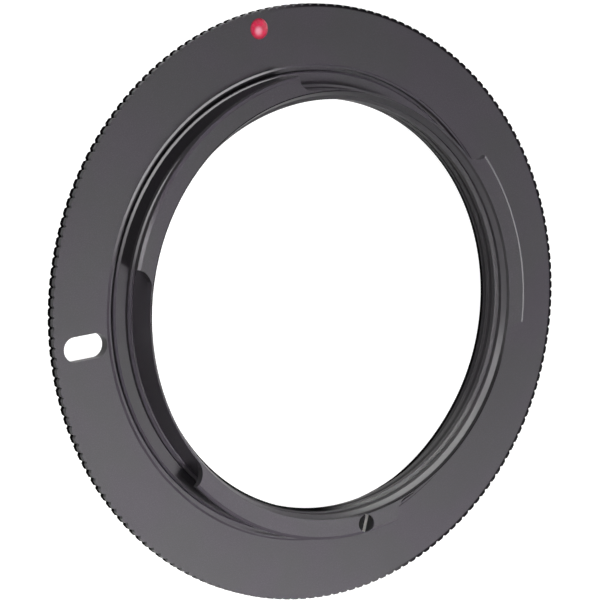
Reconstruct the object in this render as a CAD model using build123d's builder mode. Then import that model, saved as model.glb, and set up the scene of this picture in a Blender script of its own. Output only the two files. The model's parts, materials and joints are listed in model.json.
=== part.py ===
"""Lens mount adapter: a flat turned ring that carries a screw-thread lens on a three-lug bayonet.

Millimetres. The ring lies on its lens-side face at z = 0, its axis is Z, and the bayonet points up.
Angles are in degrees, anticlockwise from +X as seen from the bayonet side. The index dot is on +Y.
"""

import os
from math import cos, radians, sin

from build123d import *

# Lens thread: the bore is plain, at the thread's nominal diameter, with a lead-in at each end
# and a shallow counterbore at the bayonet end
thread_diameter = 42.0
lens_lead = 0.85
camera_lead = 0.4
counterbore_depth = 0.47

# Neck and register collar, as steps outwards from the thread
neck_wall = 0.6
collar_step = 0.4
collar_height = 0.85
collar_edge_break = 0.25

# Bayonet lugs, cut from a turned lip by milling the gaps between them
bayonet_height = 4.2
lug_reach = 1.8
lug_thickness = 0.8
lug_lead_width = 0.3
lug_lead_drop = 0.2
lug_spans = ((88.0, 155.3), (213.0, 276.0), (340.0, 385.1))
gap_corner_radius = 1.75

# Flange, with a low seat round the collar and a narrow relief groove just inside the seat's edge
flange_thickness = 1.0
flange_width = 6.0
seat_rise = 0.18
seat_lip = 0.35
relief_land = 1.3
relief_width = 0.35
relief_depth = 0.6
relief_edge_break = 0.2

# Straight knurl on the rim
knurl_count = 190
knurl_depth = 0.2
knurl_notch_width = 0.44

# Slot for the camera's lock pin, radial and right through the flange
slot_angle = 173.3
slot_inset = 0.1
slot_length = 4.85
slot_width = 2.45

# Index mark: enamel in a flat-bottomed dimple
index_angle = 90.0
index_inset = 1.7
index_diameter = 2.1
index_depth = 0.5
enamel_gap = 0.01
enamel_below_flange = 0.06

# Stop screw: a slotted screw down through the lug, with its tip seated in the flange
stop_angle = 266.4
stop_offset = 0.82
screw_diameter = 1.8
screw_clearance = 0.02
screw_seat_depth = 0.5
screw_below_lug_face = 0.1
screw_edge_break = 0.12
screw_slot_width = 0.42
screw_slot_depth = 0.55
screw_slot_angle = 62.0

# How far a cutting outline runs past the face it cuts
overcut = 0.5

# Radii and heights that follow from the sizes above
thread_radius = thread_diameter / 2
neck_radius = thread_radius + neck_wall
collar_radius = neck_radius + collar_step
lug_radius = neck_radius + lug_reach
relief_inner = collar_radius + relief_land
relief_outer = relief_inner + relief_width
seat_radius = relief_outer + seat_lip
flange_radius = seat_radius + flange_width
bayonet_top = flange_thickness + bayonet_height
lug_underside = bayonet_top - lug_thickness
collar_top = flange_thickness + collar_height
seat_top = flange_thickness + seat_rise
relief_floor = seat_top - relief_depth
counterbore_radius = thread_radius + camera_lead
counterbore_floor = bayonet_top - counterbore_depth
slot_radius = seat_radius + slot_inset + slot_length / 2
index_radius = flange_radius - index_inset
stop_radius = neck_radius + stop_offset
screw_seat = flange_thickness - screw_seat_depth
screw_top = bayonet_top - screw_below_lug_face


def on_ring(radius, angle, height):
    """Point at a radius, an angle about the ring's axis and a height."""
    return (radius * cos(radians(angle)), radius * sin(radians(angle)), height)


def radial_plane(radius, angle, height):
    """Level plane at a point on the ring, with its X axis pointing away from the ring's axis."""
    return Plane(origin=on_ring(radius, angle, height), x_dir=on_ring(1, angle, 0), z_dir=(0, 0, 1))


# Half section of the turned blank, from the lens-side face round the rim and up over the lip
turned_section = (
    (thread_radius + lens_lead, 0),
    (flange_radius, 0),
    (flange_radius, flange_thickness),
    (seat_radius, flange_thickness),
    (seat_radius - seat_rise, seat_top),
    (relief_outer, seat_top),
    (relief_outer, relief_floor),
    (relief_inner, relief_floor),
    (relief_inner, seat_top - relief_edge_break),
    (relief_inner - relief_edge_break, seat_top),
    (collar_radius, seat_top),
    (collar_radius, collar_top - collar_edge_break),
    (collar_radius - collar_edge_break, collar_top),
    (neck_radius, collar_top),
    (neck_radius, lug_underside),
    (lug_radius, lug_underside),
    (lug_radius, bayonet_top - lug_lead_drop),
    (lug_radius - lug_lead_width, bayonet_top),
    (counterbore_radius, bayonet_top),
    (counterbore_radius, counterbore_floor),
    (thread_radius, counterbore_floor - camera_lead),
    (thread_radius, lens_lead),
)

# Each gap runs from the end of one lug to the start of the next
lug_ends = [end for start, end in lug_spans]
next_starts = [start for start, end in lug_spans[1:]] + [lug_spans[0][0] + 360]

# Planes that the small work starts from: the dimple's floor and the stop screw's seat
dimple_plane = radial_plane(index_radius, index_angle, flange_thickness - index_depth)
stop_plane = radial_plane(stop_radius, stop_angle, screw_seat)

with BuildPart() as adapter_ring:
    # Lathe work: the whole blank, with the lip still a full circle
    with BuildSketch(Plane.XZ):
        with BuildLine():
            Polyline(*turned_section, close=True)
        make_face()
    revolve(axis=Axis.Z)

    # Milling: the lip is cut away between the lugs, with the cutter's radius left at each root
    with BuildSketch(Plane.XY.offset(lug_underside)) as lug_gaps:
        for gap_start, gap_end in zip(lug_ends, next_starts):
            with BuildLine():
                root = CenterArc((0, 0), neck_radius, gap_start, gap_end - gap_start)
                mouth = CenterArc((0, 0), lug_radius + overcut, gap_start, gap_end - gap_start)
                Line(root @ 0, mouth @ 0)
                Line(root @ 1, mouth @ 1)
            make_face()
        root_corners = lug_gaps.vertices().group_by(SortBy.DISTANCE)[0]
        fillet(root_corners, radius=gap_corner_radius)
    extrude(amount=lug_thickness + overcut, mode=Mode.SUBTRACT)

    # Straight knurl: V notches all round the rim
    with BuildSketch():
        with PolarLocations(flange_radius, knurl_count):
            Polygon(
                (-knurl_depth, 0),
                (0, -knurl_notch_width / 2),
                (overcut, -knurl_notch_width / 2),
                (overcut, knurl_notch_width / 2),
                (0, knurl_notch_width / 2),
                align=None,
            )
    extrude(amount=flange_thickness, mode=Mode.SUBTRACT)

    # Lock-pin slot
    with BuildSketch(radial_plane(slot_radius, slot_angle, 0)):
        SlotOverall(slot_length, slot_width)
    extrude(amount=flange_thickness, mode=Mode.SUBTRACT)

    # Dimple for the index mark
    with BuildSketch(dimple_plane):
        Circle(index_diameter / 2)
    extrude(amount=index_depth, mode=Mode.SUBTRACT)

    # Hole for the stop screw: through the lug, past the collar and into the flange
    with BuildSketch(stop_plane):
        Circle(screw_diameter / 2 + screw_clearance)
    extrude(amount=bayonet_top - screw_seat, mode=Mode.SUBTRACT)

adapter_ring.part.label = "adapter_ring"

# The enamel fills the dimple to just below the flange's face
with BuildPart() as index_dot:
    with BuildSketch(dimple_plane):
        Circle(index_diameter / 2 - enamel_gap)
    extrude(amount=index_depth - enamel_below_flange)

index_dot.part.label = "index_dot"

with BuildPart() as stop_screw:
    with BuildSketch(stop_plane):
        Circle(screw_diameter / 2)
    extrude(amount=screw_top - screw_seat)
    chamfer(stop_screw.faces().sort_by(Axis.Z)[-1].edges(), length=screw_edge_break)

    # Driver slot, right across the head
    with BuildSketch(stop_plane.offset(screw_top - screw_seat)):
        Rectangle(screw_diameter + overcut, screw_slot_width, rotation=screw_slot_angle - stop_angle)
    extrude(amount=-screw_slot_depth, mode=Mode.SUBTRACT)

stop_screw.part.label = "stop_screw"

os.makedirs("parts", exist_ok=True)
for piece in (adapter_ring.part, index_dot.part, stop_screw.part):
    export_step(piece, f"parts/{piece.label}.step")
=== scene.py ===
"""Looks of a lens mount adapter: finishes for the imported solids, the thread, the enamel and the stage."""

import json
from math import cos, pi, radians, sin
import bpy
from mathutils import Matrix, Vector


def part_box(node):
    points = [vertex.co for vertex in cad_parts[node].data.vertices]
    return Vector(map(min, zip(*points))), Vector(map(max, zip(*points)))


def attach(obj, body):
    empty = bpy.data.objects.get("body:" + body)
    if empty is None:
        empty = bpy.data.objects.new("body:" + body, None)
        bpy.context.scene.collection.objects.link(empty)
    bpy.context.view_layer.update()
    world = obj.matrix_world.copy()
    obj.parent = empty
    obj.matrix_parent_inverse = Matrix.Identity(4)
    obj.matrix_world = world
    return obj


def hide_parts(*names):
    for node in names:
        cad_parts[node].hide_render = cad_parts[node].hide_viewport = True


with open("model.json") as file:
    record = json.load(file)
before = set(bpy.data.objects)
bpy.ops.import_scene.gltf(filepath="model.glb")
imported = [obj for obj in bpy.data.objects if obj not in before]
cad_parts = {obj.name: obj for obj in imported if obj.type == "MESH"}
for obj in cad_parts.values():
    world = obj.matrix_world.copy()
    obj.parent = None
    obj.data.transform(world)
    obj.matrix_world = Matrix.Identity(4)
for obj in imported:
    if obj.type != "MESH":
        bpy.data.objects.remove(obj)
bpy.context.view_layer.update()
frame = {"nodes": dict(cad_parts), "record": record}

from types import SimpleNamespace

import bpy
import numpy as np
from bpy.props import FloatProperty, FloatVectorProperty, PointerProperty
from mathutils import Matrix, Quaternion, Vector

bl_info = {
    "name": "Lens Mount Adapter Looks",
    "version": (1, 0, 0),
    "blender": (4, 5, 0),
    "location": "3D View > Sidebar > Adapter",
    "description": "Anodised finish, lens thread, index enamel and studio stage for a lens mount adapter",
    "category": "Object",
}

MOUNTS = {mount["name"]: mount for mount in frame["record"]["mounts"]}
THREAD_RADIUS = MOUNTS["lens_thread"]["dims"]["r_mm"] / 1000

DOT_LOW, DOT_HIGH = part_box("index_dot")
SCREW_LOW, SCREW_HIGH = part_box("stop_screw")

# The lights and the camera are placed about this point, and by the bearing that the photograph looks along
STAGE_MIDDLE = Vector((0.0, 0.0, 0.001))
VIEW_BEARING = radians(-23.1)
SOFTBOX_DISTANCE = 0.50
KEY_SPREAD = radians(24.0)

# Camera: width of its sensor in millimetres, shift of the picture as shares of its width, and nearest and
# farthest distance that it sees
SENSOR_WIDTH = 36.0
PICTURE_SHIFT = (-0.0217, 0.0051)
CAMERA_REACH = (0.01, 20.0)

# Floor: half its side, points along a side, how far it lies under the ring so that their faces don't meet,
# and the paper's grey in the hollows of its tooth
FLOOR_REACH = 2.0
FLOOR_POINTS = 9
FLOOR_DROP = 0.00001
TOOTH_COLOUR = (0.20, 0.20, 0.20)
TOOTH_SHARE = 0.05
WHITE = (1.0, 1.0, 1.0, 1.0)

# Thread's ridge: depth that it is let into the bore's wall, points in one turn, share of the crest that is
# level, and share of the rise that is left at the crest's edges
THREAD_BURIED = 0.00005
STEPS_PER_TURN = 200
CREST_LEVEL = 0.4
CREST_SHOULDER = 0.94

# Enamel: points along and round the drop, how sharply it climbs at the wall, its surface above its middle,
# where the painted highlight lies on it, and how far the painted highlight and the painted shade at the edge
# reach
ENAMEL_RINGS = 25
ENAMEL_SPOKES = 96
MENISCUS_POWER = 12
ENAMEL_LIFT = Vector((0.0, 0.0, 0.0002))
HIGHLIGHT_SPOT = Vector((-0.00006, -0.00022, 0.0))
HIGHLIGHT_REACH = (0.00012, 0.00060)
HIGHLIGHT_SHARE = 0.85
SHADE_EDGE_REACH = (0.00075, 0.00105)
SHADE_EDGE_SHARE = 0.7

# Stop screw: its blacking, thicker and thinner, and the bare steel in the driver slot below the head's face
SCREW_BLACK = (0.003, 0.003, 0.0032)
THIN_BLACK = (0.010, 0.0098, 0.0095)
BARE_STEEL = (0.56, 0.55, 0.55)
BARE_DEPTHS = (0.00016, 0.00010)

# Edges that turn more sharply than this stay crisp on the pieces made here
SHARP_ANGLE = radians(40.0)

# The colour and the number sockets of a Mix node share their names, so they go by their places
COLOUR_FIRST, COLOUR_SECOND, COLOUR_RESULT = 6, 7, 2
NUMBER_FIRST, NUMBER_SECOND, NUMBER_RESULT = 2, 3, 0

# Every pair below is a band over which one finish gives way to the next. A face's lean is the upright part of
# its normal: 1 on a flat face and 0 on a wall.
WHOLE = (0.0, 1.0)
FLAT_LEAN = (0.95, 0.995)
WALL_LEAN = (0.05, 0.30)

# Bands of noise: the middle of its range, patches of tint, peaks of the blasted grain, clouds over the oxide,
# pigment in the enamel and scuffs on the screw
NOISE_MIDDLE = (0.3, 0.7)
TINT_NOISE = (0.40, 0.60)
PEAK_NOISE = (0.42, 0.72)
CLOUD_NOISE = (0.35, 0.70)
CLOUD_SHARE = 0.35
PIGMENT_NOISE = (0.35, 0.65)
SCUFF_NOISE = (0.52, 0.74)

# Bands of radius in metres, from the bore outwards
CREST_SIDE = (0.02070, 0.02085)
THREAD_FOOT = (0.02098, 0.02101)
BORE_SKIN = (0.02105, 0.02120)
BORE_WALL = (0.02110, 0.02125)
BORE_FOOT = (0.0211, 0.0213)
LEAD_TOP = (0.0213, 0.0215)
LIP_EDGE = (0.02142, 0.02156)
COUNTERBORE = (0.02148, 0.02155)
NECK_INSIDE = (0.02150, 0.02155)
BORE_CHAMFER = (0.02150, 0.02160)
LUG_ROOT = (0.0216, 0.0217)
NECK_OUTSIDE = (0.02170, 0.02180)
SEAT_LAND = (0.0230, 0.0233)
LUG_NOSE = (0.0232, 0.0233)
RIM = (0.0285, 0.0296)
RIM_EDGE = (0.02958, 0.02976)

# Bands of height in metres, from the lens side upwards
FLANGE_MIDDLE = (0.0004, 0.0006)
KNURL_TOP = (0.00045, 0.00065)
GROOVE_MOUTH = (0.0006, 0.0010)
SEAT_TOP = (0.0013, 0.0016)
BORE_FOOT_TOP = (0.0017, 0.0019)
LEAD_FOOT = (0.0040, 0.0043)
LUG_FOOT = (0.0043, 0.0044)
LUG_TOP = (0.0050, 0.0051)

# Sides of the ring where the bore's top walls are painted paler as painted light and its top edge has no
# painted shade line, where the bore is painted paler as painted light, and where the thread's crests are
# painted black as
# painted shade: a bearing, and how near to it the change starts and is whole, by the measure of towards
PAINTED_LIGHT_EDGE_SIDE = (radians(20.0), 0.5, 0.8)
PAINTED_LIGHT_SIDE = (radians(289.0), 0.84, 0.95)
PAINTED_SHADE_SIDE = (radians(217.0), 0.60, 0.80)

# Bands of nearness to +X for the lug end painted paler as painted light, the rim's edge painted dark as
# painted shade, and the seat on the other side painted darker as painted shade
PAINTED_LIGHT_LUG_SIDE = (0.0, 0.3)
RIM_SHADE_SIDE = (0.0, 0.25)
SEAT_SHADE_SIDE = (-0.5, -0.1)

# Shares of painted shade, in black, at the counterbore, along the rim's edge and on the seat
COUNTERBORE_SHADE_BLACK = 0.48
RIM_SHADE_BLACK = 0.9
SEAT_SHADE_BLACK = 0.45

# Reflection of the oxide: on flat faces, on walls, what chamfers add, and the share left on the thread. Then
# its optical index, the roughness of the bore's chamfers, the scatter of roughness over the blasted grain,
# and how strongly the lathe's lines stand out beside that grain
FACE_SHEEN = 0.5
WALL_SHEEN = 0.12
EDGE_SHEEN = 0.15
THREAD_SHEEN = 0.15
OXIDE_INDEX = 1.6
BORE_CHAMFER_ROUGHNESS = 0.29
GRAIN_SCATTER = 0.05
TURNED_SHARE = 0.35


def number_setting(name, default, description):
    """Setting that is a plain number."""
    return FloatProperty(name=name, description=description, default=default)


def length_setting(name, default, description):
    """Setting in metres."""
    return FloatProperty(name=name, description=description, default=default, unit="LENGTH")


def angle_setting(name, degrees, description):
    """Setting that is an angle, given in degrees."""
    return FloatProperty(name=name, description=description, default=radians(degrees), subtype="ANGLE")


def share_setting(name, default, description):
    """Setting that is a share of 1."""
    return FloatProperty(name=name, description=description, default=default, subtype="FACTOR")


def power_setting(name, default, description):
    """Setting in watts."""
    return FloatProperty(name=name, description=description, default=default, unit="POWER")


def colour_setting(name, default, description):
    """Setting that is a linear colour."""
    return FloatVectorProperty(name=name, description=description, default=default, subtype="COLOR")


class ThreadSettings(bpy.types.PropertyGroup):
    """Sizes of the lens thread's turns in the bore."""

    pitch: length_setting("Pitch", 0.001, "Height from one turn to the next")
    rise: length_setting("Rise", 0.00045, "How far the crest stands in from the bore")
    crest_width: length_setting("Crest width", 0.00050, "Width of the crest")
    flank_width: length_setting("Flank width", 0.00010, "Height that each sloping flank takes up")
    low_end: length_setting("Low end", 0.0013, "Height of the first turn")
    high_end: length_setting("High end", 0.00395, "Height of the last turn")
    start_angle: angle_setting("Start angle", 264.0, "Where the first turn begins")
    run_out: angle_setting("Run-out", 50.0, "Angle over which each end fades into the bore")


class EnamelSettings(bpy.types.PropertyGroup):
    """Shape and colour of the enamel in the index dimple."""

    dish: length_setting("Dish", 0.00009, "Depth of the dried hollow")
    meniscus: length_setting("Meniscus", 0.000005, "Climb of the enamel up the dimple's wall")
    colour: colour_setting("Colour", (0.85, 0.045, 0.120), "Red of the enamel")
    deep_colour: colour_setting("Deep colour", (0.66, 0.025, 0.070), "Red where the enamel is thickest")
    # Painted highlight: pink painted on the enamel where a highlight falls
    painted_highlight_colour: colour_setting("Pale colour", (1.0, 0.46, 0.58), "Pink where the enamel is thin")
    # Painted shade: dark red painted round the enamel's edge at the dimple's wall
    shade_edge_colour: colour_setting("Edge colour", (0.24, 0.014, 0.030), "Dark red at the dimple's wall")


class AnodiseSettings(bpy.types.PropertyGroup):
    """Colours and texture of the anodised ring."""

    dye: colour_setting("Dye", (0.0470, 0.0395, 0.0515), "Main dark grey of the oxide")
    grey_dye: colour_setting("Grey dye", (0.0452, 0.0425, 0.0478), "Greyer patches of the oxide")
    thin_dye: colour_setting("Thin dye", (0.0700, 0.0612, 0.0760), "Lighter grey at the grain's peaks")
    wall_dye: colour_setting("Wall dye", (0.080, 0.076, 0.082), "Dark grey of the bore")
    # Painted light: a paler grey painted on one side of the bore
    painted_light_dye: colour_setting("Worn dye", (0.112, 0.110, 0.112), "Paler grey where the bore is worn")
    neck_dye: colour_setting("Neck dye", (0.088, 0.080, 0.092), "Grey of the neck's outside")
    matt_dye: colour_setting("Matt dye", (0.052, 0.049, 0.054), "Black of the walls outside the bore")
    # Painted shade: black painted on the knurl, the bore's foot, the counterbore, edge lines, thread crests
    # and seat
    painted_shade_black: colour_setting("Rim dye", (0.004, 0.004, 0.0043), "Deep black of the knurl and the dark edges")
    grain: length_setting("Grain", 0.00011, "Width of one blasted pit")
    grain_depth: length_setting("Grain depth", 0.000012, "Depth of a pit")
    face_roughness: share_setting("Face roughness", 0.48, "Roughness of the blasted faces")
    wall_roughness: share_setting("Wall roughness", 0.40, "Roughness of the turned walls")
    edge_roughness: share_setting("Edge roughness", 0.22, "Roughness of the rubbed chamfers")


class StageSettings(bpy.types.PropertyGroup):
    """Camera, floor and lights."""

    distance: length_setting("Camera distance", 0.381, "From the flange's centre")
    tilt: angle_setting("Camera tilt", 33.97, "Angle from the ring's axis")
    roll: angle_setting("Camera roll", 8.42, "Turn of the picture")
    lens: number_setting("Lens", 227.7, "Focal length in millimetres")
    floor_colour: colour_setting("Floor colour", (0.25, 0.25, 0.25), "Grey of the paper under its own glow")
    floor_glow: number_setting("Floor glow", 1.0, "Light that the floor gives of itself")
    sky: number_setting("Sky", 0.07, "Strength of the even light all round")
    overhead: power_setting("Overhead", 0.088, "Power of the softbox overhead")
    upper: power_setting("Upper", 1.45, "Power of the low softbox behind")
    left: power_setting("Left", 0.35, "Power of the softbox at the left")


def add_node(tree, kind, inputs=None, **settings):
    """Adds a node, sets its own settings, and fills its inputs with values or links."""
    node = tree.nodes.new(kind)
    for name, value in settings.items():
        setattr(node, name, value)
    for name, value in (inputs or {}).items():
        if isinstance(value, bpy.types.NodeSocket):
            tree.links.new(value, node.inputs[name])
        else:
            node.inputs[name].default_value = value
    return node


def start_finish(name):
    """Returns a new material with its node tree, its shader and its Object coordinates."""
    material = bpy.data.materials.new(name)
    material.use_nodes = True
    tree = material.node_tree
    place = add_node(tree, "ShaderNodeTexCoord").outputs["Object"]
    return material, tree, tree.nodes["Principled BSDF"], place


def ramp(tree, value, low, high, from_value=0.0, to_value=1.0):
    """Smooth step of a value: from_value below low, to_value above high."""
    step = add_node(
        tree,
        "ShaderNodeMapRange",
        {"Value": value, "From Min": low, "From Max": high, "To Min": from_value, "To Max": to_value},
        interpolation_type="SMOOTHSTEP",
    )
    return step.outputs["Result"]


def above(tree, value, band):
    """Share that is 0 below a band and 1 above it."""
    return ramp(tree, value, *band)


def below(tree, value, band):
    """Share that is 1 below a band and 0 above it."""
    return ramp(tree, value, *band, 1.0, 0.0)


def blend(tree, share, first, second):
    """Mix of two colours, sockets or values, by a share."""
    mix = add_node(tree, "ShaderNodeMix", {"Factor": share}, data_type="RGBA")
    for place, colour in ((COLOUR_FIRST, first), (COLOUR_SECOND, second)):
        if isinstance(colour, bpy.types.NodeSocket):
            tree.links.new(colour, mix.inputs[place])
        else:
            mix.inputs[place].default_value = (*colour, 1.0)
    return mix.outputs[COLOUR_RESULT]


def between(tree, share, first, second):
    """Mix of two numbers, sockets or values, by a share."""
    mix = add_node(tree, "ShaderNodeMix", {"Factor": share, NUMBER_FIRST: first, NUMBER_SECOND: second})
    return mix.outputs[NUMBER_RESULT]


def sums(tree, operation, first, *others):
    """Math nodes that carry one operation on from the first value to each of the others in turn."""
    for other in others:
        first = add_node(tree, "ShaderNodeMath", {0: first, 1: other}, operation=operation).outputs["Value"]
    return first


def all_of(tree, *shares):
    """Share that holds where every one of the shares does."""
    return sums(tree, "MULTIPLY", *shares)


def any_of(tree, *shares):
    """Share that holds where the largest of the shares does."""
    return sums(tree, "MAXIMUM", *shares)


def noise(tree, place, scale, detail, roughness=0.5):
    """Noise about a place, with so many waves to the metre."""
    texture = add_node(
        tree,
        "ShaderNodeTexNoise",
        {"Vector": place, "Scale": scale, "Detail": detail, "Roughness": roughness},
    )
    return texture.outputs["Fac"]


def tool_marks(tree, path, scale):
    """Noise along one measure, for the fine lines that a lathe tool leaves."""
    texture = add_node(
        tree, "ShaderNodeTexNoise", {"W": path, "Scale": scale, "Detail": 2.0}, noise_dimensions="1D"
    )
    return texture.outputs["Fac"]


def bumps(tree, shader, height, distance, strength):
    """Lets a height stand out on a shader's surface."""
    bump = add_node(tree, "ShaderNodeBump", {"Height": height, "Distance": distance, "Strength": strength})
    tree.links.new(bump.outputs["Normal"], shader.inputs["Normal"])


def height_of(tree, vector):
    """Upright part of a place or a direction."""
    return add_node(tree, "ShaderNodeSeparateXYZ", {0: vector}).outputs["Z"]


def radius_of(tree, place):
    """Distance of a place from the upright axis."""
    level = add_node(tree, "ShaderNodeVectorMath", {0: place, 1: (1.0, 1.0, 0.0)}, operation="MULTIPLY")
    length = add_node(tree, "ShaderNodeVectorMath", {0: level.outputs["Vector"]}, operation="LENGTH")
    return length.outputs["Value"]


def distance_from(tree, place, point):
    """Distance of a place from a fixed point."""
    return add_node(tree, "ShaderNodeVectorMath", {0: place, 1: point}, operation="DISTANCE").outputs["Value"]


def towards(tree, place, radius, bearing):
    """How near round the ring a place lies to a bearing: 1 on it, 0 a quarter turn off, -1 across from it."""
    way = (cos(bearing), sin(bearing), 0.0)
    along = add_node(tree, "ShaderNodeVectorMath", {0: place, 1: way}, operation="DOT_PRODUCT")
    return sums(tree, "DIVIDE", along.outputs["Value"], radius)


def side(tree, place, radius, bearing, start, whole):
    """Share of a place in one side of the ring."""
    return ramp(tree, towards(tree, place, radius, bearing), start, whole)


def ring_shares(tree, place, settings):
    """Measures and shares that tell the ring's faces, walls, edges and sides apart."""
    ring = SimpleNamespace()
    ring.radius = radius_of(tree, place)
    ring.height = height_of(tree, place)
    normal = add_node(tree, "ShaderNodeNewGeometry").outputs["Normal"]
    lean = add_node(tree, "ShaderNodeMath", {0: height_of(tree, normal)}, operation="ABSOLUTE")
    ring.flat = above(tree, lean.outputs["Value"], FLAT_LEAN)
    ring.wall = below(tree, lean.outputs["Value"], WALL_LEAN)
    ring.edge = sums(tree, "SUBTRACT", 1.0, any_of(tree, ring.flat, ring.wall))
    ring.pits = noise(tree, place, scale=1 / settings.grain, detail=2.0, roughness=0.6)
    ring.on_rim = above(tree, ring.radius, RIM)
    ring.plus_x = towards(tree, place, ring.radius, bearing=0.0)
    ring.worn_side = side(tree, place, ring.radius, *PAINTED_LIGHT_SIDE)
    ring.dark_side = side(tree, place, ring.radius, *PAINTED_SHADE_SIDE)
    ring.plain_edge = any_of(tree, side(tree, place, ring.radius, *PAINTED_LIGHT_EDGE_SIDE), ring.dark_side)
    ring.matt = matt_walls(tree, ring)
    ring.black = painted_shade_parts(tree, ring)
    return ring


def matt_walls(tree, ring):
    """Share of the walls outside the bore, less the lug ends and stretches of the bore's top walls that are
    painted paler as painted light.
    """
    outside = any_of(tree, above(tree, ring.radius, BORE_WALL), below(tree, ring.height, BORE_FOOT_TOP))
    # Painted light: lug end walls on the +X side are painted paler instead of matt
    painted_light_lug_ends = all_of(
        tree,
        above(tree, ring.height, LUG_FOOT),
        above(tree, ring.radius, LUG_ROOT),
        below(tree, ring.radius, LUG_NOSE),
        above(tree, ring.plus_x, PAINTED_LIGHT_LUG_SIDE),
    )
    # Painted light: on some sides the bore's top walls are painted paler, without the counterbore's painted
    # shade
    rubbed = all_of(
        tree, below(tree, ring.radius, COUNTERBORE), above(tree, ring.height, LEAD_FOOT), ring.plain_edge
    )
    pale = any_of(tree, painted_light_lug_ends, rubbed)
    return all_of(tree, outside, ring.wall, below(tree, pale, WHOLE))


def painted_shade_parts(tree, ring):
    """Share of painted shade in black: the knurl's lower walls, the bore's foot, the counterbore, dark lines
    along the rim's and the bore's top edges, and the thread's crests on one side.
    """
    # Painted shade: the knurl's walls are painted deep black below about half the flange's height
    knurl = all_of(tree, ring.on_rim, below(tree, ring.height, KNURL_TOP))
    # Painted shade: the bore's wall under the thread's first turn is painted black
    shaded_bore_foot = all_of(tree, below(tree, ring.radius, BORE_FOOT), below(tree, ring.height, BORE_FOOT_TOP))
    # Painted shade: the counterbore's walls are painted nearly half black
    counterbore = ramp(tree, ring.radius, *COUNTERBORE, COUNTERBORE_SHADE_BLACK, 0.0)
    walls = all_of(tree, ring.matt, any_of(tree, knurl, shaded_bore_foot, counterbore))
    # Painted shade: a dark line painted along the bore's top edge, left off on the sides with painted light
    bore_shade_line = all_of(
        tree,
        below(tree, ring.radius, LIP_EDGE),
        above(tree, ring.height, LUG_TOP),
        below(tree, ring.plain_edge, WHOLE),
    )
    # Painted shade: a dark line painted along the rim's top edge on the +X side
    rim_shade_line = all_of(
        tree,
        ramp(tree, ring.radius, *RIM_EDGE, 0.0, RIM_SHADE_BLACK),
        above(tree, ring.plus_x, RIM_SHADE_SIDE),
        above(tree, ring.height, FLANGE_MIDDLE),
    )
    edges = all_of(tree, any_of(tree, rim_shade_line, bore_shade_line), ring.flat)
    # Painted shade: the thread's crests are painted black on one side of the bore
    crests = all_of(tree, below(tree, ring.radius, CREST_SIDE), ring.dark_side)
    return any_of(tree, walls, edges, crests)


def ring_dye(tree, place, ring, settings):
    """Colour of the oxide: grain and clouds first, then the seat's painted shade, chamfers, the bore with
    painted light on one side, walls, neck and painted shade in black.
    """
    tints = noise(tree, place, scale=130.0, detail=2.0)
    tinted = blend(tree, above(tree, tints, TINT_NOISE), settings.dye, settings.grey_dye)
    peaks = all_of(tree, above(tree, ring.pits, PEAK_NOISE), ring.flat)
    dyed = blend(tree, peaks, tinted, settings.thin_dye)
    clouds = noise(tree, place, scale=260.0, detail=3.0, roughness=0.55)
    dyed = blend(tree, ramp(tree, clouds, *CLOUD_NOISE, to_value=CLOUD_SHARE), dyed, tinted)
    # Painted shade: the seat land is darkened toward black on the side away from +X
    seat = all_of(
        tree,
        ramp(tree, ring.radius, *SEAT_LAND, SEAT_SHADE_BLACK, 0.0),
        below(tree, ring.height, SEAT_TOP),
        above(tree, ring.height, GROOVE_MOUTH),
        below(tree, ring.plus_x, SEAT_SHADE_SIDE),
    )
    dyed = blend(tree, seat, dyed, settings.painted_shade_black)
    dyed = blend(tree, ring.edge, dyed, settings.thin_dye)
    lead = all_of(tree, ring.edge, below(tree, ring.radius, LEAD_TOP))
    bore = any_of(tree, ring.wall, lead, below(tree, ring.radius, BORE_SKIN))
    # Painted light: the bore is painted paler on one side
    dyed = blend(tree, bore, dyed, blend(tree, ring.worn_side, settings.wall_dye, settings.painted_light_dye))
    dyed = blend(tree, sums(tree, "SUBTRACT", ring.matt, ring.on_rim), dyed, settings.matt_dye)
    neck = all_of(
        tree, above(tree, ring.radius, NECK_INSIDE), below(tree, ring.radius, NECK_OUTSIDE), ring.matt
    )
    dyed = blend(tree, neck, dyed, settings.neck_dye)
    return blend(tree, ring.black, dyed, settings.painted_shade_black)


def ring_sheen(tree, ring):
    """Strength of the oxide's reflection, which the parts with painted shade in black lose and the thread
    nearly loses.
    """
    level = ramp(tree, ring.wall, *WHOLE, FACE_SHEEN, WALL_SHEEN)
    level = sums(tree, "ADD", level, sums(tree, "MULTIPLY", ring.edge, EDGE_SHEEN))
    off_thread = ramp(tree, ring.radius, *THREAD_FOOT, THREAD_SHEEN, 1.0)
    return all_of(tree, level, below(tree, ring.black, WHOLE), off_thread)


def ring_roughness(tree, ring, settings):
    """Roughness of the chamfers, the faces and the walls, scattered a little over the blasted grain."""
    chamfers = ramp(tree, ring.radius, *BORE_CHAMFER, BORE_CHAMFER_ROUGHNESS, settings.edge_roughness)
    level = between(tree, ring.flat, chamfers, settings.face_roughness)
    level = between(tree, ring.wall, level, settings.wall_roughness)
    scatter = ramp(tree, ring.pits, *NOISE_MIDDLE, -GRAIN_SCATTER, GRAIN_SCATTER)
    return sums(tree, "ADD", level, sums(tree, "MULTIPLY", scatter, ring.flat))


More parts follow.
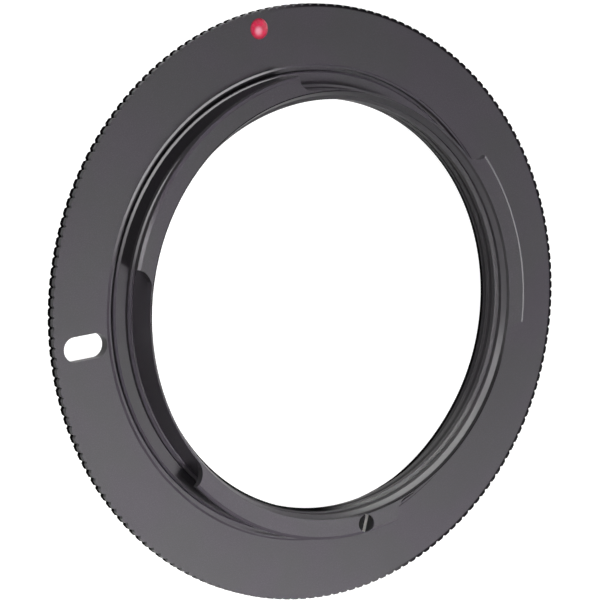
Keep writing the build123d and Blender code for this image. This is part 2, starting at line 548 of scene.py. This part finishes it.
def anodised_finish(settings):
    """Dyed oxide: blasted flat faces, finely turned walls and rubbed chamfers, told apart by their lean, with
    painted light and painted shade on some sides, walls and edges.
    """
    material, tree, shader, place = start_finish("anodised_finish")
    ring = ring_shares(tree, place, settings)
    tree.links.new(ring_dye(tree, place, ring, settings), shader.inputs["Base Color"])
    tree.links.new(ring_sheen(tree, ring), shader.inputs["Specular IOR Level"])
    tree.links.new(ring_roughness(tree, ring, settings), shader.inputs["Roughness"])
    shader.inputs["IOR"].default_value = OXIDE_INDEX
    lines = tool_marks(tree, sums(tree, "ADD", ring.radius, ring.height), scale=9000.0)
    turned = sums(tree, "MULTIPLY", lines, sums(tree, "MULTIPLY", ring.wall, TURNED_SHARE))
    blasted = sums(tree, "MULTIPLY", ring.pits, ring.flat)
    bumps(tree, shader, sums(tree, "ADD", blasted, turned), distance=settings.grain_depth, strength=0.6)
    return material


def enamel_finish(settings):
    """Glossy red enamel with cloudy pigment, a painted highlight and painted shade at its edge."""
    material, tree, shader, place = start_finish("red_enamel_finish")
    surface = (DOT_LOW + DOT_HIGH) / 2 + ENAMEL_LIFT
    pigment = noise(tree, place, scale=2600.0, detail=3.0)
    red = blend(tree, above(tree, pigment, PIGMENT_NOISE), settings.colour, settings.deep_colour)
    # Painted highlight: a pink spot painted just off the enamel's middle
    from_highlight = distance_from(tree, place, surface + HIGHLIGHT_SPOT)
    red = blend(tree, ramp(tree, from_highlight, *HIGHLIGHT_REACH, HIGHLIGHT_SHARE, 0.0), red, settings.painted_highlight_colour)
    # Painted shade: dark red painted in a ring round the enamel's edge
    from_middle = distance_from(tree, place, surface)
    shade_edge = ramp(tree, from_middle, *SHADE_EDGE_REACH, to_value=SHADE_EDGE_SHARE)
    red = blend(tree, shade_edge, red, settings.shade_edge_colour)
    tree.links.new(red, shader.inputs["Base Color"])
    roughness = ramp(tree, pigment, *NOISE_MIDDLE, from_value=0.22, to_value=0.34)
    tree.links.new(roughness, shader.inputs["Roughness"])
    bumps(tree, shader, pigment, distance=0.000012, strength=0.4)
    shader.inputs["Coat Weight"].default_value = 0.5
    shader.inputs["Coat Roughness"].default_value = 0.25
    return material


def screw_finish():
    """Blackened steel, faced on a lathe: fine rings about the screw's axis, and bare steel in the slot."""
    material, tree, shader, place = start_finish("blackened_screw_finish")
    middle = (SCREW_LOW + SCREW_HIGH) / 2
    own = add_node(tree, "ShaderNodeMapping", {"Vector": place, "Location": (-middle.x, -middle.y, 0.0)})
    own_place = own.outputs["Vector"]
    scuffs = noise(tree, own_place, scale=5200.0, detail=4.0)
    black = blend(tree, above(tree, scuffs, SCUFF_NOISE), SCREW_BLACK, THIN_BLACK)
    bare = below(tree, height_of(tree, place), [SCREW_HIGH.z - depth for depth in BARE_DEPTHS])
    tree.links.new(blend(tree, bare, black, BARE_STEEL), shader.inputs["Base Color"])
    rings = tool_marks(tree, radius_of(tree, own_place), scale=12000.0)
    roughness = ramp(tree, rings, *NOISE_MIDDLE, from_value=0.40, to_value=0.56)
    tree.links.new(roughness, shader.inputs["Roughness"])
    bumps(tree, shader, rings, distance=0.00001, strength=0.5)
    shader.inputs["Specular IOR Level"].default_value = 0.12
    return material


def floor_finish(settings):
    """Matt paper with a faint tooth, which glows white of itself."""
    material, tree, shader, place = start_finish("pale_paper_finish")
    tooth = noise(tree, place, scale=900.0, detail=4.0)
    hollows = ramp(tree, tooth, *NOISE_MIDDLE, to_value=TOOTH_SHARE)
    tree.links.new(blend(tree, hollows, settings.floor_colour, TOOTH_COLOUR), shader.inputs["Base Color"])
    shader.inputs["Roughness"].default_value = 0.9
    shader.inputs["Specular IOR Level"].default_value = 0.1
    shader.inputs["Emission Color"].default_value = WHITE
    shader.inputs["Emission Strength"].default_value = settings.floor_glow
    return material


def grid_piece(name, points, close_rows=False, close_columns=False):
    """Object of quads over a grid of points, rows by columns by XYZ, with either way closed on itself."""
    rows, columns = points.shape[:2]
    corner = np.arange(rows * columns).reshape(rows, columns)
    if close_rows:
        corner = np.concatenate((corner, corner[:1]), axis=0)
    if close_columns:
        corner = np.concatenate((corner, corner[:, :1]), axis=1)
    quads = np.stack((corner[:-1, :-1], corner[1:, :-1], corner[1:, 1:], corner[:-1, 1:]), axis=-1)
    quads = quads.reshape(-1, 4)
    mesh = bpy.data.meshes.new(name)
    mesh.vertices.add(rows * columns)
    mesh.vertices.foreach_set("co", points.astype(np.float32).ravel())
    mesh.loops.add(quads.size)
    mesh.loops.foreach_set("vertex_index", quads.astype(np.int32).ravel())
    mesh.polygons.add(len(quads))
    mesh.polygons.foreach_set("loop_start", np.arange(0, quads.size, 4, dtype=np.int32))
    mesh.update(calc_edges=True)
    mesh.validate()
    mesh.shade_smooth()
    mesh.set_sharp_from_angle(angle=SHARP_ANGLE)
    piece = bpy.data.objects.new(name, mesh)
    bpy.context.scene.collection.objects.link(piece)
    return piece


def smooth_step(share):
    """3s^2 - 2s^3, with s held between 0 and 1."""
    share = np.clip(share, 0.0, 1.0)
    return share * share * (3 - 2 * share)


def thread_turns(settings):
    """Ridge profile carried along a helix inside the bore.

    At angle t past the start the ridge is centred at height low_end + pitch * t / one turn. Its radius is the
    bore's less what the ridge stands in: nothing at the foot of each flank and the rise along the crest, with
    the crest's edges a little lower, all times a fade at each end. The profile closes behind the bore's wall.
    """
    turns = (settings.high_end - settings.low_end) / settings.pitch
    whole_angle = turns * 2 * pi
    angle = np.linspace(0.0, whole_angle, int(turns * STEPS_PER_TURN) + 1)[:, None]
    half_crest = settings.crest_width / 2
    half_level = half_crest * CREST_LEVEL
    half_foot = half_crest + settings.flank_width
    shoulder = settings.rise * CREST_SHOULDER
    profile = np.array(
        (
            (-half_foot, -THREAD_BURIED),
            (-half_foot, 0.0),
            (-half_crest, shoulder),
            (-half_level, settings.rise),
            (half_level, settings.rise),
            (half_crest, shoulder),
            (half_foot, 0.0),
            (half_foot, -THREAD_BURIED),
        )
    )
    offset, stand = profile.T
    fade = smooth_step(angle / settings.run_out) * smooth_step((whole_angle - angle) / settings.run_out)
    radius = THREAD_RADIUS + THREAD_BURIED - (stand + THREAD_BURIED) * fade
    height = settings.low_end + settings.pitch * angle / (2 * pi) + offset
    bearing = settings.start_angle + angle
    points = np.stack((radius * np.cos(bearing), radius * np.sin(bearing), height), axis=-1)
    return grid_piece("lens_thread_turns", points[:, ::-1], close_columns=True)


def enamel_drop(settings):
    """Dished disc of enamel in the dimple.

    Along the share s of the radius the top is the CAD top less dish * (1 - s^2), plus a meniscus that climbs
    as s to a high power. The outline then drops down the wall and in along the floor to the middle.
    """
    middle = (DOT_LOW + DOT_HIGH) / 2
    reach = (DOT_HIGH.y - DOT_LOW.y) / 2
    share = np.concatenate((np.linspace(0.0, 1.0, ENAMEL_RINGS), (1.0, 0.0)))
    top = DOT_HIGH.z - settings.dish * (1 - share ** 2) + settings.meniscus * share ** MENISCUS_POWER
    top[-2:] = DOT_LOW.z
    bearing = np.linspace(0.0, 2 * pi, ENAMEL_SPOKES, endpoint=False)[:, None]
    points = np.stack(
        (
            middle.x + reach * share * np.cos(bearing),
            middle.y + reach * share * np.sin(bearing),
            np.broadcast_to(top, (len(bearing), len(share))),
        ),
        axis=-1,
    )
    return grid_piece("index_enamel", points, close_rows=True)


def floor_sheet():
    """Flat square sheet just under the ring, wide enough to fill any view."""
    line = np.linspace(-FLOOR_REACH, FLOOR_REACH, FLOOR_POINTS)
    across, along = np.meshgrid(line, line, indexing="ij")
    return grid_piece("floor", np.stack((across, along, np.full_like(across, -FLOOR_DROP)), axis=-1))


def from_view(bearing, elevation, distance):
    """Point at a bearing from the photograph's axis, an elevation, and a distance from the stage's middle."""
    turn = VIEW_BEARING + radians(bearing)
    level = cos(radians(elevation))
    return STAGE_MIDDLE + distance * Vector((level * cos(turn), level * sin(turn), sin(radians(elevation))))


def facing(place, target):
    """Turn that points a lamp's light from one place to another."""
    return (target - place).to_track_quat("-Z", "Y")


def softbox(name, bearing, elevation, width, length, power, turn=0.0):
    """Rectangular area light that faces the ring, turned by some degrees about its own line of sight."""
    light = bpy.data.lights.new(name, "AREA")
    light.shape = "RECTANGLE"
    light.size = width
    light.size_y = length
    light.energy = power
    lamp = bpy.data.objects.new(name, light)
    lamp.location = from_view(bearing, elevation, SOFTBOX_DISTANCE)
    own_turn = Quaternion((0.0, 0.0, 1.0), radians(turn))
    lamp.rotation_euler = (facing(lamp.location, STAGE_MIDDLE) @ own_turn).to_euler()
    bpy.context.scene.collection.objects.link(lamp)
    return lamp


def photo_camera(settings):
    """Camera on the photograph's axis: tilted from the ring's axis, then rolled about its line of sight."""
    data = bpy.data.cameras.new("photo_camera")
    data.sensor_width = SENSOR_WIDTH
    data.lens = settings.lens
    data.shift_x, data.shift_y = PICTURE_SHIFT
    data.clip_start, data.clip_end = CAMERA_REACH
    ahead = Vector((cos(VIEW_BEARING), sin(VIEW_BEARING), 0.0))
    sideways = Vector((-sin(VIEW_BEARING), cos(VIEW_BEARING), 0.0))
    axis = Vector((0.0, 0.0, 1.0))
    slope = cos(settings.tilt) * ahead + sin(settings.tilt) * axis
    back = -sin(settings.tilt) * ahead + cos(settings.tilt) * axis
    right = cos(settings.roll) * slope + sin(settings.roll) * sideways
    up = -sin(settings.roll) * slope + cos(settings.roll) * sideways
    place = STAGE_MIDDLE + settings.distance * back
    camera = bpy.data.objects.new("photo_camera", data)
    turn = Matrix((right, up, back)).transposed().to_4x4()
    camera.matrix_world = Matrix.Translation(place) @ turn
    bpy.context.scene.collection.objects.link(camera)
    bpy.context.scene.camera = camera


def even_light(strength):
    """World of plain white light."""
    world = bpy.data.worlds.new("even_light")
    world.use_nodes = True
    backdrop = world.node_tree.nodes["Background"]
    backdrop.inputs["Color"].default_value = WHITE
    backdrop.inputs["Strength"].default_value = strength
    return world


class ADAPTER_OT_anodise_ring(bpy.types.Operator):
    """Give the turned ring its blasted and anodised finish"""

    bl_idname = "adapter.anodise_ring"
    bl_label = "Anodise Ring"

    def execute(self, context):
        ring = frame["nodes"]["adapter_ring"]
        ring.material_slots[0].material = anodised_finish(context.scene.adapter_anodise)
        return {"FINISHED"}


class ADAPTER_OT_cut_thread(bpy.types.Operator):
    """Add the lens thread's turns to the bore"""

    bl_idname = "adapter.cut_thread"
    bl_label = "Cut Thread"

    def execute(self, context):
        turns = thread_turns(context.scene.adapter_thread)
        turns.data.materials.append(frame["nodes"]["adapter_ring"].material_slots[0].material)
        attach(turns, "root")
        return {"FINISHED"}


class ADAPTER_OT_fill_index(bpy.types.Operator):
    """Fill the index dimple with dished red enamel"""

    bl_idname = "adapter.fill_index"
    bl_label = "Fill Index Dot"

    def execute(self, context):
        drop = enamel_drop(context.scene.adapter_enamel)
        drop.data.materials.append(enamel_finish(context.scene.adapter_enamel))
        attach(drop, "root")
        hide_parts("index_dot")
        return {"FINISHED"}


class ADAPTER_OT_blacken_screw(bpy.types.Operator):
    """Give the stop screw its blackened steel finish"""

    bl_idname = "adapter.blacken_screw"
    bl_label = "Blacken Screw"

    def execute(self, context):
        frame["nodes"]["stop_screw"].material_slots[0].material = screw_finish()
        return {"FINISHED"}


class ADAPTER_OT_set_stage(bpy.types.Operator):
    """Lay the pale floor and set up the soft lights and the camera"""

    bl_idname = "adapter.set_stage"
    bl_label = "Set Stage"

    def execute(self, context):
        settings = context.scene.adapter_stage
        photo_camera(settings)
        floor = floor_sheet()
        floor.data.materials.append(floor_finish(settings))
        floor.visible_diffuse = False
        context.scene.world = even_light(settings.sky)
        key = softbox(
            "key_softbox", bearing=285.0, elevation=77.0, width=0.12, length=0.12, power=settings.overhead
        )
        key.data.spread = KEY_SPREAD
        lit_spot = from_view(bearing=284.0, elevation=0.0, distance=0.055)
        key.rotation_euler = facing(key.location, lit_spot).to_euler()
        softbox(
            "upper_softbox",
            bearing=117.0,
            elevation=22.5,
            width=0.76,
            length=0.13,
            power=settings.upper,
            turn=16.0,
        )
        softbox("left_softbox", bearing=166.0, elevation=44.0, width=0.12, length=0.28, power=settings.left)
        context.scene.view_settings.view_transform = "Standard"
        return {"FINISHED"}


class ADAPTER_PT_looks(bpy.types.Panel):
    """Lists the steps and their settings"""

    bl_idname = "ADAPTER_PT_looks"
    bl_label = "Lens Mount Adapter"
    bl_space_type = "VIEW_3D"
    bl_region_type = "UI"
    bl_category = "Adapter"

    def draw(self, context):
        for step, group in STEPS:
            box = self.layout.box()
            box.operator(step.bl_idname)
            if group:
                settings = getattr(context.scene, group)
                for name in settings.bl_rna.properties.keys():
                    if name not in ("rna_type", "name"):
                        box.prop(settings, name)


STEPS = (
    (ADAPTER_OT_anodise_ring, "adapter_anodise"),
    (ADAPTER_OT_cut_thread, "adapter_thread"),
    (ADAPTER_OT_fill_index, "adapter_enamel"),
    (ADAPTER_OT_blacken_screw, None),
    (ADAPTER_OT_set_stage, "adapter_stage"),
)
GROUPS = {
    "adapter_thread": ThreadSettings,
    "adapter_enamel": EnamelSettings,
    "adapter_anodise": AnodiseSettings,
    "adapter_stage": StageSettings,
}


def register():
    """Registers the settings, the operators and the panel."""
    for name, group in GROUPS.items():
        bpy.utils.register_class(group)
        setattr(bpy.types.Scene, name, PointerProperty(type=group))
    for step, _ in STEPS:
        bpy.utils.register_class(step)
    bpy.utils.register_class(ADAPTER_PT_looks)


def unregister():
    """Takes away what register added, in the opposite order."""
    bpy.utils.unregister_class(ADAPTER_PT_looks)
    for step, _ in reversed(STEPS):
        bpy.utils.unregister_class(step)
    for name, group in reversed(GROUPS.items()):
        delattr(bpy.types.Scene, name)
        bpy.utils.unregister_class(group)


def main():
    register()
    bpy.ops.adapter.anodise_ring()
    bpy.ops.adapter.cut_thread()
    bpy.ops.adapter.fill_index()
    bpy.ops.adapter.blacken_screw()
    bpy.ops.adapter.set_stage()


if __name__ == "__main__":
    main()
